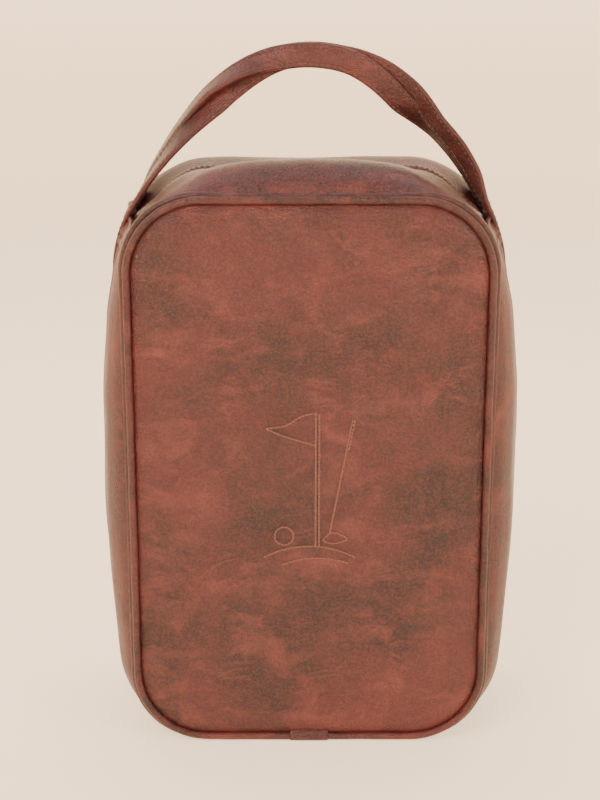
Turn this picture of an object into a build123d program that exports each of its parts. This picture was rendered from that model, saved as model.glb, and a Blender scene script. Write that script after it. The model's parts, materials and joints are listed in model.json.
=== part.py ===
"""Golf shoe bag: an upright leather bag with a zipped top and a twin-strap handle.

Frame: +Z up, the front panel faces -Y, the origin is on the ground under the middle.
All sizes are in millimetres.
"""
import math
import os

from build123d import *

# Front and rear panels, over their piping
PANEL_W = 229.0
PANEL_H = 359.2
CORNER_R = 48.5
PIPING_D = 5.0
PIPING_BOTTOM = 0.8
PIPING_Y = 62.0
STANDING_EDGE = 59.4

# Gusset: how far the leather swells past the panels, and the heights along the top
SIDE_SWELL = 22.4
FRONT_CREST = 379.0
REAR_CREST = 373.0
ZIP_LEVEL = 369.0
TOP_RUN = 68.0
SEAM_LEVEL = 334.0
ZIP_FLAT = 10.0
CREST_Y = 30.0
SHOULDER_Y = 50.0

# Sheet thicknesses
LEATHER = 1.6
LINING = 0.6
BOARD = 1.2
LINING_INSET = 3.4
FACE_GAP = 0.1

# Zip
ZIP_GAP = 6.0
LINING_EDGE = 14.0
TAPE_T = 0.5
TOOTH_L = 2.5
TOOTH_T = 2.2
TOOTH_W = 1.5
TOOTH_PITCH = 3.0
ROW_GAP = 0.6
SLIDER_L = 14.0
SLIDER_W = 9.0
PLATE_T = 1.0
SLIDER_REST = 9.0
PULL_L = 12.0
PULL_W = 6.0
PULL_T = 1.0
WINDOW_L = 8.4
WINDOW_W = 3.0
TAG_L = 18.0
TAG_W = 8.0
TAG_T = 2.2
TAG_LAP = 4.0
PIVOT_D = 1.6
PIVOT_RISE = 1.5
CLEAR = 0.3

# Handle
STRAP_W = 15.5
STRAP_T = 3.6
CORE_W = 11.0
CORE_T = 1.4
STRAP_OFFSET = 2.4
HANDLE_FOOT = (91.1, 380.0)
HANDLE_TURN = (55.0, 417.0)
END_FOOT = (119.6, 338.0)
END_TOP = (103.0, 369.5)
END_Y = 11.6
TAIL_T = 1.4
TAIL_DROP = 32.0

# Small leather pieces
TAB_W = 25.0
TAB_T = 0.8
FOLD_H = 12.0
FOLD_W = 58.0

# Stitched picture on the front panel
THREAD_T = 0.3
THREAD_W = 1.6
MOTIF_Z = 178.0

HALF_W = (PANEL_W - PIPING_D) / 2
PATH_BOTTOM = PIPING_BOTTOM + PIPING_D / 2
PATH_TOP = PIPING_BOTTOM + PANEL_H - PIPING_D / 2
PATH_MID = (PATH_BOTTOM + PATH_TOP) / 2
PATH_H = PATH_TOP - PATH_BOTTOM
PATH_R = CORNER_R - PIPING_D / 2
PANEL_FACE = PIPING_Y + 2.0
TEETH_Z = ZIP_LEVEL - LEATHER - FACE_GAP - TAPE_T / 2


def save(shape, node):
    export_step(shape, f"parts/{node}.step")


def slab(width, height, radius, near, far):
    """An upright rounded plate centred on the panel, between two Y planes."""
    plane = Plane((0, far, PATH_MID), x_dir=(1, 0, 0), z_dir=(0, -1, 0))
    return extrude(plane * RectangleRounded(width, height, radius), amount=far - near)


def block(lo, hi):
    """A box between two corners."""
    size = [b - a for a, b in zip(lo, hi)]
    mid = [(a + b) / 2 for a, b in zip(lo, hi)]
    return Pos(*mid) * Box(*size)


def gusset_section(y, swell, top, inset):
    """One upright section of the gusset; swell runs from 0 at the seam to 1 at the zip."""
    half_t = inset
    base = PATH_BOTTOM * max(0.0, 1 - 2 * swell) + half_t
    top_pt = (TOP_RUN, top - half_t)
    shoulder = (97.5 + 8.5 * swell - 0.7 * half_t, 343.5 + 6.5 * swell - 0.7 * half_t)
    side_top = (111 + 17 * swell - half_t, 311 - 11 * swell)
    side_mid = (111.6 + SIDE_SWELL * swell - half_t, 190.0)
    side_low = (111 + 19 * swell - half_t, 49 + 13 * swell)
    corner = (97.5 + 16.5 * swell - 0.7 * half_t, 16.5 + 1.5 * swell + 0.7 * half_t)
    foot = (65 + 11 * swell, base)

    def left(point):
        return (-point[0], point[1])

    edges = [
        Line(left(top_pt), top_pt),
        ThreePointArc(top_pt, shoulder, side_top),
        ThreePointArc(side_top, side_mid, side_low),
        ThreePointArc(side_low, corner, foot),
        Line(foot, left(foot)),
        ThreePointArc(left(foot), left(corner), left(side_low)),
        ThreePointArc(left(side_low), left(side_mid), left(side_top)),
        ThreePointArc(left(side_top), left(shoulder), left(top_pt)),
    ]
    face = make_face(Curve() + edges)
    plane = Plane((0, y, 0), x_dir=(1, 0, 0), z_dir=(0, -1, 0))
    return plane * face


def gusset_body(inset):
    """The bag's rounded barrel between the two seams, drawn in by an inset."""
    stations = [
        (-STANDING_EDGE, 0.0, PATH_TOP - 0.5),
        (-SHOULDER_Y, 0.55, PATH_TOP + 12),
        (-CREST_Y, 0.85, FRONT_CREST),
        (-ZIP_FLAT, 1.0, ZIP_LEVEL),
        (ZIP_FLAT, 1.0, ZIP_LEVEL),
        (CREST_Y, 0.85, REAR_CREST),
        (SHOULDER_Y, 0.55, PATH_TOP + 9),
        (STANDING_EDGE, 0.0, PATH_TOP - 0.5),
    ]
    return loft([gusset_section(y, swell, top, inset) for y, swell, top in stations], ruled=True)


def gusset_layer(outside, inside):
    """A skin of the barrel between two insets."""
    return gusset_body(outside) - gusset_body(inside)


def beyond(z_low, z_high, y_low, y_high):
    """A wide block that picks a part of the gusset by height and depth."""
    return block((-200, y_low, z_low), (200, y_high, z_high))


def panel(side):
    near, far = sorted((side * (PANEL_FACE - LEATHER), side * PANEL_FACE))
    width = 2 * HALF_W - PIPING_D - FACE_GAP
    return slab(width, PATH_H - PIPING_D - FACE_GAP, PATH_R - PIPING_D / 2, near, far)


def board(side):
    outer = PANEL_FACE - LEATHER
    near, far = sorted((side * (outer - BOARD), side * outer))
    return slab(2 * HALF_W - 12, PATH_H - 12, PATH_R - 6, near, far)


def panel_lining(side):
    outer = PANEL_FACE - LEATHER - BOARD
    near, far = sorted((side * (outer - LINING), side * outer))
    return slab(2 * HALF_W - 10, PATH_H - 10, PATH_R - 5, near, far)


def seam_binding(side):
    """The cloth strip that covers the raw seam inside."""
    outer = PANEL_FACE - LEATHER - BOARD - LINING
    near, far = sorted((side * (outer - 6), side * outer))
    ring = slab(2 * HALF_W - 11, PATH_H - 11, PATH_R - 5.5, near, far)
    return ring - slab(2 * HALF_W - 13.4, PATH_H - 13.4, PATH_R - 6.7, near - 1, far + 1)


def piping(side):
    """The corded leather edge round a panel."""
    plane = Plane((0, side * PIPING_Y, PATH_MID), x_dir=(1, 0, 0), z_dir=(0, -1, 0))
    ring = (plane * RectangleRounded(2 * HALF_W, PATH_H, PATH_R)).face().outer_wire()
    start = Plane(origin=ring @ 0, z_dir=ring % 0)
    return sweep(start * Circle(PIPING_D / 2), path=ring)


def piping_tab(side, cord):
    """The short leather loop that hides the joint in the piping."""
    reach = PIPING_D / 2 + TAB_T
    sleeve = Pos(0, side * PIPING_Y, PATH_BOTTOM) * Rot(0, 90, 0) * Cylinder(reach, TAB_W)
    flap_y = sorted((side * (PANEL_FACE + FACE_GAP), side * (PIPING_Y + reach)))
    flap = block((-TAB_W / 2, flap_y[0], PATH_BOTTOM), (TAB_W / 2, flap_y[1], PATH_BOTTOM + 6))
    face = panel(side)
    return (sleeve + flap) - cord - face - gusset_body(0)


def zip_arc():
    """Centre and radius of the zip's turn over the shoulder."""
    ax, az = TOP_RUN, TEETH_Z
    bx, bz = 97.5 + 8.5, TEETH_Z - 19.0
    radius = ((bx - ax) ** 2 + (bz - az) ** 2) / (2 * (az - bz))
    return ax, az - radius, radius


def zip_place(run):
    """Where a tooth sits: X, Z and tilt, for a distance along the zip from its middle."""
    sign = 1 if run >= 0 else -1
    past = abs(run) - TOP_RUN
    if past <= 0:
        return run, TEETH_Z, 0.0
    cx, cz, radius = zip_arc()
    turn = past / radius
    return sign * (cx + radius * math.sin(turn)), cz + radius * math.cos(turn), sign * math.degrees(turn)


def teeth(side):
    """One row of zip teeth, as separate small blocks."""
    row = []
    start = 0.0 if side < 0 else TOOTH_PITCH / 2
    count = int(TOP_RUN / TOOTH_PITCH)
    for step in range(-count, count):
        x, z, tilt = zip_place(start + step * TOOTH_PITCH)
        tooth = Box(TOOTH_W, TOOTH_L, TOOTH_T)
        row.append(Pos(x, side * (ROW_GAP + TOOTH_L / 2), z) * Rot(0, tilt, 0) * tooth)
    return Compound(children=row)


def zip_tape(side):
    """The woven tape that carries one row of teeth, under the leather strip."""
    near, far = sorted((side * (ROW_GAP + TOOTH_L), side * ZIP_FLAT))
    skin = gusset_layer(LEATHER + FACE_GAP, LEATHER + FACE_GAP + TAPE_T)
    return skin & beyond(SEAM_LEVEL + 2, FRONT_CREST, near, far)


def zip_stops():
    """The two small metal stops at the ends of the zip."""
    stops = []
    for sign in (-1, 1):
        x, z, tilt = zip_place(sign * (TOP_RUN + 1.0))
        stops.append(Pos(x, 0, z) * Rot(0, tilt, 0) * Box(1.6, 2 * (ROW_GAP + TOOTH_L), TOOTH_T))
    return Compound(children=stops)


def slider(sign):
    """The zip slider: two plates joined by a thin web between the rows of teeth."""
    x = sign * SLIDER_REST
    clear = TOOTH_T / 2 + CLEAR
    upper = Pos(x, 0, TEETH_Z + clear + PLATE_T / 2) * Box(SLIDER_L, SLIDER_W, PLATE_T)
    lower = Pos(x, 0, TEETH_Z - clear - PLATE_T / 2) * Box(SLIDER_L, SLIDER_W, PLATE_T)
    web = Pos(x, 0, TEETH_Z) * Box(SLIDER_L - 4, 2 * (ROW_GAP - CLEAR - 0.05), 2 * clear + PLATE_T)
    lug = Pos(x, 0, TEETH_Z + clear + PLATE_T + 1.4) * Box(5, 2.4, 2.8)
    bore = Pos(x, 0, pivot_height()) * Rot(90, 0, 0) * Cylinder(PIVOT_D / 2 + CLEAR, SLIDER_W)
    return (upper + lower + web + lug) - bore


def pivot_height():
    return TEETH_Z + TOOTH_T / 2 + CLEAR + PLATE_T + PIVOT_RISE


def puller(sign):
    """The metal pull that swings on the slider's lug and lies outward at rest."""
    x = sign * SLIDER_REST
    z = pivot_height()
    mid = x + sign * PULL_L / 2
    plate = Pos(mid, 0, z) * Box(PULL_L + PIVOT_D, PULL_W, PULL_T)
    window = Pos(x, 0, z) * Box(WINDOW_L, WINDOW_W, 2 * PIVOT_D)
    pin = Pos(x, 0, z) * Rot(90, 0, 0) * Cylinder(PIVOT_D / 2, PULL_W)
    return (plate - window) + pin


def pull_tag(sign):
    """The leather tag fixed over the end of the metal pull."""
    z = pivot_height()
    start = SLIDER_REST + PULL_L - TAG_LAP
    mid = sign * (start + TAG_L / 2)
    tag = Pos(mid, 0, z) * Box(TAG_L, TAG_W, TAG_T)
    return tag - puller(sign)


def handle_path(y):
    """The middle line of a strap's arch, from foot to foot."""
    foot_x, foot_z = HANDLE_FOOT
    turn_x, turn_z = HANDLE_TURN
    run = Vector(turn_x - foot_x, turn_z - foot_z)
    lean = math.atan2(run.Y, -run.X)
    radius = turn_x / math.sin(lean)
    crown = turn_z + radius * (1 - math.cos(lean))
    left = Line((-foot_x, y, foot_z), (-turn_x, y, turn_z))
    arch = ThreePointArc((-turn_x, y, turn_z), (0, y, crown), (turn_x, y, turn_z))
    right = Line((turn_x, y, turn_z), (foot_x, y, foot_z))
    return Wire([left.edge(), arch.edge(), right.edge()])


def strap_bar(y, width, thick):
    path = handle_path(y)
    start = Plane(origin=path @ 0, x_dir=(0, 1, 0), z_dir=path % 0)
    return sweep(start * Rectangle(thick, width), path=path)


def strap_ends(sign):
    """The feet of both straps on one side, where they stand in the gusset seam."""
    foot_x, foot_z = END_FOOT
    top_x, top_z = END_TOP
    length = math.hypot(foot_x - top_x, top_z - foot_z)
    lean = math.degrees(math.atan2(foot_x - top_x, top_z - foot_z))
    mid_x = (foot_x + top_x) / 2
    mid_z = (foot_z + top_z) / 2
    feet = []
    for side in (-1, 1):
        bar = Box(STRAP_T, STRAP_W, length)
        feet.append(Pos(sign * mid_x, side * END_Y, mid_z) * Rot(0, -sign * lean, 0) * bar)
    return Compound(children=feet)


def strap_tails(sign, layer):
    """The strap ends that are sewn down inside the side gusset."""
    tails = []
    for side in (-1, 1):
        near, far = sorted((side * (END_Y - STRAP_W / 2), side * (END_Y + STRAP_W / 2)))
        x_near, x_far = sorted((sign * 90, sign * 150))
        window = block((x_near, near, SEAM_LEVEL - TAIL_DROP), (x_far, far, SEAM_LEVEL - 1))
        tails.extend((layer & window).solids())
    return Compound(children=tails)


def end_fold(sign, layer):
    """The folded, stitched top edge of the side gusset over the strap ends."""
    x_near, x_far = sorted((sign * 80, sign * 160))
    lo = (x_near, -FOLD_W / 2, SEAM_LEVEL - FOLD_H)
    hi = (x_far, FOLD_W / 2, SEAM_LEVEL)
    return layer & block(lo, hi)


def motif():
    """A flag on a stick, a ball and a curved ground line, in raised thread."""
    plane = Plane((0, -PANEL_FACE, MOTIF_Z), x_dir=(1, 0, 0), z_dir=(0, -1, 0))
    stick = Pos(4, 4) * Rectangle(THREAD_W, 88)
    flag = make_face(Polyline((4, 48), (-26, 38), (4, 28), close=True))
    inner = make_face(Polyline((1.5, 44), (-19, 38), (1.5, 32), close=True))
    ball = Pos(-16, -33) * Circle(6) - Pos(-16, -33) * Circle(6 - THREAD_W)
    ground = Pos(0, -100) * (Circle(60) - Circle(60 - THREAD_W))
    ground = ground & (Pos(0, -45) * Rectangle(58, 14))
    pieces = []
    for outline in (stick + (flag - inner), ball, ground):
        pieces.extend(extrude(plane * outline, amount=THREAD_T).solids())
    return Compound(children=pieces)


os.makedirs("parts", exist_ok=True)

shell = gusset_layer(0, LEATHER)
lining = gusset_layer(LINING_INSET, LINING_INSET + LINING)
tail_layer = gusset_layer(LEATHER + FACE_GAP, LEATHER + FACE_GAP + TAIL_T)
fold_layer = gusset_layer(-LEATHER, 0)

save(shell & beyond(-10, SEAM_LEVEL, -100, 100), "side_gusset")
save(shell & beyond(SEAM_LEVEL, 500, -100, -ZIP_GAP), "top_gusset_front")
save(shell & beyond(SEAM_LEVEL, 500, ZIP_GAP, 100), "top_gusset_rear")
save(lining & beyond(-10, SEAM_LEVEL, -100, 100), "gusset_lining")
save(lining & beyond(SEAM_LEVEL, 500, -100, -LINING_EDGE), "top_lining_front")
save(lining & beyond(SEAM_LEVEL, 500, LINING_EDGE, 100), "top_lining_rear")
BASE_TOP = LINING_INSET + LINING + FACE_GAP
save(block((-72, -46, BASE_TOP), (72, 46, BASE_TOP + 1.6)), "base_board")

for name, side in (("front", -1), ("rear", 1)):
    cord = piping(side)
    bar = strap_bar(side * STRAP_OFFSET, STRAP_W, STRAP_T)
    core = strap_bar(side * STRAP_OFFSET, CORE_W, CORE_T)
    save(panel(side), f"{name}_panel")
    save(board(side), f"{name}_board")
    save(panel_lining(side), f"{name}_lining")
    save(seam_binding(side), f"{name}_seam_binding")
    save(cord, f"{name}_piping")
    save(piping_tab(side, cord), f"{name}_piping_tab")
    save(zip_tape(side), f"zip_tape_{name}")
    save(teeth(side), f"zip_teeth_{name}")
    save(bar - core, f"{name}_strap")
    save(core, f"{name}_strap_core")

for name, sign in (("left", -1), ("right", 1)):
    save(slider(sign), f"zip_slider_{name}")
    save(puller(sign), f"zip_puller_{name}")
    save(pull_tag(sign), f"pull_tag_{name}")
    save(strap_ends(sign), f"strap_ends_{name}")
    save(strap_tails(sign, tail_layer), f"strap_tails_{name}")
    save(end_fold(sign, fold_layer), f"gusset_end_fold_{name}")

save(zip_stops(), "zip_stops")
save(motif(), "motif_stitching")
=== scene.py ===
"""A golf shoe bag in marbled pull-up leather, standing on a plain pale studio sweep."""
import json
import math
import random

import bmesh
import bpy
import numpy as np
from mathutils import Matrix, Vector, noise


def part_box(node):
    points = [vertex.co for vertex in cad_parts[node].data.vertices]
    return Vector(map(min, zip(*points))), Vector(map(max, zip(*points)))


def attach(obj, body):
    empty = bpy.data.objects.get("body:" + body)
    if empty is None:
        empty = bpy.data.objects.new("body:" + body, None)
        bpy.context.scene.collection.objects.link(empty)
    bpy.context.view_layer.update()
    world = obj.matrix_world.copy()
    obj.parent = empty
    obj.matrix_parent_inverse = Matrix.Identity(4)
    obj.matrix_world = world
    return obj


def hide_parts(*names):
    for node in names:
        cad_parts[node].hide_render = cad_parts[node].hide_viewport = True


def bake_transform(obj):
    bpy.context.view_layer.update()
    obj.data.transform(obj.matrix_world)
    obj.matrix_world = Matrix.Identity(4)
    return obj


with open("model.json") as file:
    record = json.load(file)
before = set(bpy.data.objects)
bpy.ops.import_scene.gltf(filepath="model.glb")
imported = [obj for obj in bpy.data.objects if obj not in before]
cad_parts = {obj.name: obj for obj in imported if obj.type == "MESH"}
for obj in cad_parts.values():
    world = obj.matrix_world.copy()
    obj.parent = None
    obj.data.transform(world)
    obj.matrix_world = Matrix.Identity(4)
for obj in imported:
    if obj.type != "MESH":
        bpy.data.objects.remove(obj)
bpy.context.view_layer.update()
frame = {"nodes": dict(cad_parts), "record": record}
random.seed(7)

MM = 0.001

# ---------------------------------------------------------------- camera and lights
PITCH = math.radians(15.0)
AIM = Vector((-5.9, -64.0, 234.0)) * MM
DISTANCE = 922 * MM
LENS = 66.8                                   # focal length, in mm
NEAREST = 50 * MM
LIT_POINT = (0, 0, 0.2)
LAMP_COLOUR = (1.0, 0.95, 0.89)
SOFTBOXES = (                                 # name, place and size in metres, power in watts
    ("key_softbox", (-0.9, -1.5, 1.7), (1.0, 1.0), 30),
    ("fill_softbox", (1.3, -1.2, 0.9), (0.5, 1.3), 11),
    ("top_softbox", (0.0, 0.55, 1.6), (1.8, 1.0), 20),
)
WORLD_COLOUR = (0.88, 0.76, 0.64, 1)
WORLD_STRENGTH = 0.25


def add_camera():
    data = bpy.data.cameras.new("camera")
    data.lens = LENS
    data.clip_start = NEAREST
    camera = bpy.data.objects.new("camera", data)
    camera.location = AIM + DISTANCE * Vector((0, -math.cos(PITCH), math.sin(PITCH)))
    camera.rotation_euler = (math.pi / 2 - PITCH, 0, 0)
    bpy.context.collection.objects.link(camera)
    bpy.context.scene.camera = camera


def area_light(name, place, target, size, power, colour):
    data = bpy.data.lights.new(name, "AREA")
    data.shape = "RECTANGLE"
    data.size, data.size_y = size
    data.energy = power
    data.color = colour
    lamp = bpy.data.objects.new(name, data)
    lamp.location = place
    aim = Vector(target) - Vector(place)
    lamp.rotation_euler = aim.to_track_quat("-Z", "Y").to_euler()
    bpy.context.collection.objects.link(lamp)


def add_lights():
    for name, place, size, power in SOFTBOXES:
        area_light(name, place, LIT_POINT, size, power, LAMP_COLOUR)
    world = bpy.data.worlds.new("studio")
    world.use_nodes = True
    background = world.node_tree.nodes["Background"]
    background.inputs["Color"].default_value = WORLD_COLOUR
    background.inputs["Strength"].default_value = WORLD_STRENGTH
    bpy.context.scene.world = world


add_camera()
add_lights()

# ---------------------------------------------------------------- sizes, from the frame
pipe_lo, pipe_hi = [Vector(corner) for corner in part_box("front_piping")]
PIPE_R = (pipe_hi.y - pipe_lo.y) / 2
PIPE_Y = -(pipe_lo.y + PIPE_R)
HALF_W = pipe_hi.x - PIPE_R
PATH_TOP = pipe_hi.z - PIPE_R
PATH_BOTTOM = pipe_lo.z + PIPE_R
PATH_MID = (PATH_TOP + PATH_BOTTOM) / 2
PATH_R = 46 * MM                              # corner radius of the panels' outline
EDGE_Y = -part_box("side_gusset")[0][1]
SEAM_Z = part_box("side_gusset")[1][2]
LEATHER = 1.6 * MM
CLOTH = 0.6 * MM
STRAP_W = 15.5 * MM
STRAP_T = 3.4 * MM
SEWING_GAP = 3.6 * MM                         # from one stitch to the next
STITCH_IN = 2.4 * MM                          # from a strap's edge to its stitches


# ---------------------------------------------------------------- mesh helpers
def face_outward(mesh):
    """Turns every face outward; an open skin faces away from the bag's middle."""
    work = bmesh.new()
    work.from_mesh(mesh)
    bmesh.ops.recalc_face_normals(work, faces=work.faces)
    if any(edge.is_boundary for edge in work.edges):
        middle = Vector((0, 0, PATH_MID))
        outward = sum(f.normal.dot(f.calc_center_median() - middle) * f.calc_area() for f in work.faces)
        if outward < 0:
            bmesh.ops.reverse_faces(work, faces=work.faces)
    work.to_mesh(mesh)
    work.free()


def end_caps(rows, sides, start=0):
    """The two flat ends of a tube of rings."""
    last = start + (rows - 1) * sides
    return [tuple(range(start, start + sides)), tuple(reversed(range(last, last + sides)))]


def finish_piece(piece, slot, *nodes):
    """Hides the CAD nodes that a piece stands for; the slot is not used."""
    if nodes:
        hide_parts(*nodes)


def make_object(name, verts, faces, material, body="bag"):
    """A smooth-shaded mesh that rides on a body; with no body, it is left unattached."""
    mesh = bpy.data.meshes.new(name)
    mesh.from_pydata([tuple(v) for v in verts], [], faces)
    face_outward(mesh)
    mesh.polygons.foreach_set("use_smooth", [True] * len(mesh.polygons))
    mesh.update()
    mesh.materials.append(material)
    piece = bpy.data.objects.new(name, mesh)
    bpy.context.collection.objects.link(piece)
    if body:
        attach(piece, body)
    return piece


def grid_faces(rows, columns, closed_rows=False, closed_columns=False, start=0):
    """Quads over a grid of vertices, joined up where it is closed."""
    faces = []
    for i in range(rows if closed_rows else rows - 1):
        for j in range(columns if closed_columns else columns - 1):
            a = start + i * columns + j
            b = start + i * columns + (j + 1) % columns
            c = start + ((i + 1) % rows) * columns + (j + 1) % columns
            d = start + ((i + 1) % rows) * columns + j
            faces.append((a, b, c, d))
    return faces


def thicken(piece, thickness, offset=-1.0):
    """Gives an open skin its thickness, inward unless offset says otherwise."""
    solid = piece.modifiers.new("thickness", "SOLIDIFY")
    solid.thickness = thickness
    solid.offset = offset


def hermite(knots, values, at):
    """Smooth curves through values, one row each, given at the knots and read at the places in at."""
    knots = np.array(knots, float)
    slopes = np.gradient(values, knots, axis=1)
    place = np.clip(np.searchsorted(knots, at) - 1, 0, len(knots) - 2)
    gap = (knots[place + 1] - knots[place])[None, :]
    f = ((at - knots[place]) / (knots[place + 1] - knots[place]))[None, :]
    h00 = 2 * f**3 - 3 * f**2 + 1
    h10 = f**3 - 2 * f**2 + f
    h01 = -2 * f**3 + 3 * f**2
    h11 = f**3 - f**2
    low, high = values[:, place], values[:, place + 1]
    return h00 * low + h10 * gap * slopes[:, place] + h01 * high + h11 * gap * slopes[:, place + 1]


def even_out(values, passes):
    """Smooths values that run round a closed loop."""
    for _ in range(passes):
        values = (np.roll(values, 1) + 2 * values + np.roll(values, -1)) / 4
    return values


def ripple(point, scale, seed):
    """Smooth noise from -1 to 1; scale is in waves per metre."""
    return noise.noise(Vector(point) * scale + Vector((seed, 2.3 * seed, -seed)))


# ---------------------------------------------------------------- the outline of a panel
# A station counts the way round one half, from the top middle: 0-1 top run, 1-2 top corner,
# 2-3 side, 3-4 bottom corner, 4-5 bottom run.
TOP_N, CORNER_N, SIDE_N, FOOT_N, BASE_N = 30, 64, 110, 34, 24     # steps in each stretch


def half_outline():
    centre_x = HALF_W - PATH_R
    high_z, low_z = PATH_TOP - PATH_R, PATH_BOTTOM + PATH_R
    rows = []                                 # X, Z, outward X, outward Z, station
    for f in np.linspace(0, 1, TOP_N, endpoint=False):
        rows.append((centre_x * f, PATH_TOP, 0, 1, f))
    for f in np.linspace(0, 1, CORNER_N, endpoint=False):
        s, c = math.sin(f * math.pi / 2), math.cos(f * math.pi / 2)
        rows.append((centre_x + PATH_R * s, high_z + PATH_R * c, s, c, 1 + f))
    for f in np.linspace(0, 1, SIDE_N, endpoint=False):
        rows.append((HALF_W, high_z + (low_z - high_z) * f, 1, 0, 2 + f))
    for f in np.linspace(0, 1, FOOT_N, endpoint=False):
        s, c = math.sin(f * math.pi / 2), math.cos(f * math.pi / 2)
        rows.append((centre_x + PATH_R * c, low_z - PATH_R * s, c, -s, 3 + f))
    for f in np.linspace(0, 1, BASE_N + 1):
        rows.append((centre_x * (1 - f), PATH_BOTTOM, 0, -1, 4 + f))
    return np.array(rows)


RIGHT = half_outline()
LEFT = RIGHT[::-1][:-1].copy()
LEFT[:, [0, 2]] *= -1
# from the bottom middle up the left side, over the top and down the right side
LOOP = np.vstack([LEFT, RIGHT])[:-1]
STATION = LOOP[:, 4]
SIDE = np.where(np.arange(len(LOOP)) < len(LEFT), -1.0, 1.0)

# How far the gusset stands out from the panels' outline, in mm: (station, amount)
FRONT_SWELL = [
    (0, 22), (0.55, 21), (0.9, 17.5), (1, 14), (1.16, 8), (1.4, 3.5), (1.7, 6), (2, 10.5),
    (2.1, 16.5), (2.3, 21), (2.6, 21.5), (2.85, 19), (3, 16), (3.5, 9.5), (4, 3.2), (5, 3.2),
]
ZIP_SWELL = [
    (0, 11.5), (1, 11.55), (1.08, 11.3), (1.21, 8.5), (1.44, 4.5), (1.6, 7), (1.73, 10.3), (2, 13.4),
    (2.1, 18.5), (2.3, 24), (2.6, 24.2), (2.85, 21), (3, 18.5), (3.2, 15.5), (3.6, 9), (4, 3.3), (5, 3.3),
]
REAR_SWELL = [
    (0, 16), (0.8, 17.5), (1.1, 17), (1.33, 15), (1.52, 14.5), (1.77, 13), (2, 12.5), (2.1, 15.5),
    (2.3, 19), (2.6, 19.5), (2.85, 17), (3, 14.5), (3.5, 9.5), (4, 3.2), (5, 3.2),
]
# Across the depth, from the front seam to the rear seam, and the swell's share near each seam
DEPTH_KNOTS = [-1, -0.93, -0.8, -0.5, -0.14, 0, 0.14, 0.5, 0.8, 0.93, 1]
NEAR_SEAM, OFF_SEAM = 0.36, 0.72
RIGHT_LEAN = 0.03                             # the right side bulges more than the left, by this share
SIDES_START = 1.6                             # station
ZIP_LIP = 1.2 * MM                            # the strips' rise beside the zip
LIP_END, LIP_FADE = 1.5, 0.3                  # stations


def along(table, passes=14):
    """A table of amounts read at every place on the loop, smoothed, in metres."""
    stations, amounts = zip(*table)
    return even_out(np.interp(STATION, stations, amounts), passes) * MM


def swell_grid(depths):
    """How far the gusset stands out, for every place on the loop and every depth from -1 to 1."""
    lean = np.where(STATION > SIDES_START, 1 + RIGHT_LEAN * SIDE, 1.0)
    front, middle, rear = (along(t) * lean for t in (FRONT_SWELL, ZIP_SWELL, REAR_SWELL))
    lip = ZIP_LIP * np.clip((LIP_END - STATION) / LIP_FADE, 0, 1)
    values = np.stack([0 * front, NEAR_SEAM * front, OFF_SEAM * front, front, middle + lip, middle,
                       middle + lip, rear, OFF_SEAM * rear, NEAR_SEAM * rear, 0 * rear], axis=1)
    return hermite(DEPTH_KNOTS, values, np.array(depths))


def barrel(depths, inset=0.0):
    """Points of the gusset's skin: loop by depth by XYZ."""
    out = swell_grid(depths) - inset
    points = np.zeros((len(LOOP), len(depths), 3))
    points[:, :, 0] = LOOP[:, 0, None] + LOOP[:, 2, None] * out
    points[:, :, 2] = LOOP[:, 1, None] + LOOP[:, 3, None] * out
    points[:, :, 1] = np.array(depths)[None, :] * EDGE_Y
    return points


OUTWARD = np.stack([LOOP[:, 2], np.zeros(len(LOOP)), LOOP[:, 3]], axis=1)


def crumple(points, outward, seed):
    """Slack leather: broad dents and smaller soft ones, held still at the seams."""
    for i in range(points.shape[0]):
        for j in range(points.shape[1]):
            p = points[i, j]
            edge = 1 - min(1, abs(p[1]) / EDGE_Y) ** 4
            dent = 0.9 * ripple(p, 17, seed) + 0.35 * ripple(p, 48, seed + 3)
            points[i, j] = p + outward[i] * dent * edge * MM


# ---------------------------------------------------------------- materials
def material(name):
    """A new material, its node tree and its shader."""
    made = bpy.data.materials.new(name)
    made.use_nodes = True
    return made, made.node_tree, made.node_tree.nodes["Principled BSDF"]


def node(tree, kind, settings=None, **inputs):
    """A node with its settings; an input is given by name, or as i0, i1 and so on by place."""
    made = tree.nodes.new(kind)
    for key, value in (settings or {}).items():
        setattr(made, key, value)
    for key, value in inputs.items():
        by_place = key[0] == "i" and key[1:].isdigit()
        socket = made.inputs[int(key[1:]) if by_place else key]
        if isinstance(value, bpy.types.NodeSocket):
            tree.links.new(value, socket)
        else:
            socket.default_value = value
    return made


def maths(tree, operation, a, b=0.0):
    made = node(tree, "ShaderNodeMath", {"operation": operation}, i0=a, i1=b)
    return made.outputs[0]


def vector_maths(tree, operation, a, b):
    made = node(tree, "ShaderNodeVectorMath", {"operation": operation}, i0=a, i1=b)
    return made.outputs[0]


def scale_and_add(tree, value, scale, added):
    made = maths(tree, "MULTIPLY_ADD", value, scale)
    made.node.inputs[2].default_value = added
    return made


def object_coords(tree):
    return node(tree, "ShaderNodeTexCoord").outputs["Object"]


def add_bump(tree, shader, height, strength, distance):
    bump = node(tree, "ShaderNodeBump", None, Height=height)
    bump.inputs["Strength"].default_value = strength
    bump.inputs["Distance"].default_value = distance
    tree.links.new(bump.outputs[0], shader.inputs["Normal"])


def step_up(tree, value, low, high):
    """0 below low, 1 above high, smooth between; reversed where low is above high."""
    made = node(tree, "ShaderNodeMapRange", {"interpolation_type": "SMOOTHSTEP"}, Value=value)
    flip = low > high
    made.inputs["From Min"].default_value = min(low, high)
    made.inputs["From Max"].default_value = max(low, high)
    made.inputs["To Min"].default_value = 1.0 if flip else 0.0
    made.inputs["To Max"].default_value = 0.0 if flip else 1.0
    return made.outputs["Result"]


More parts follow.
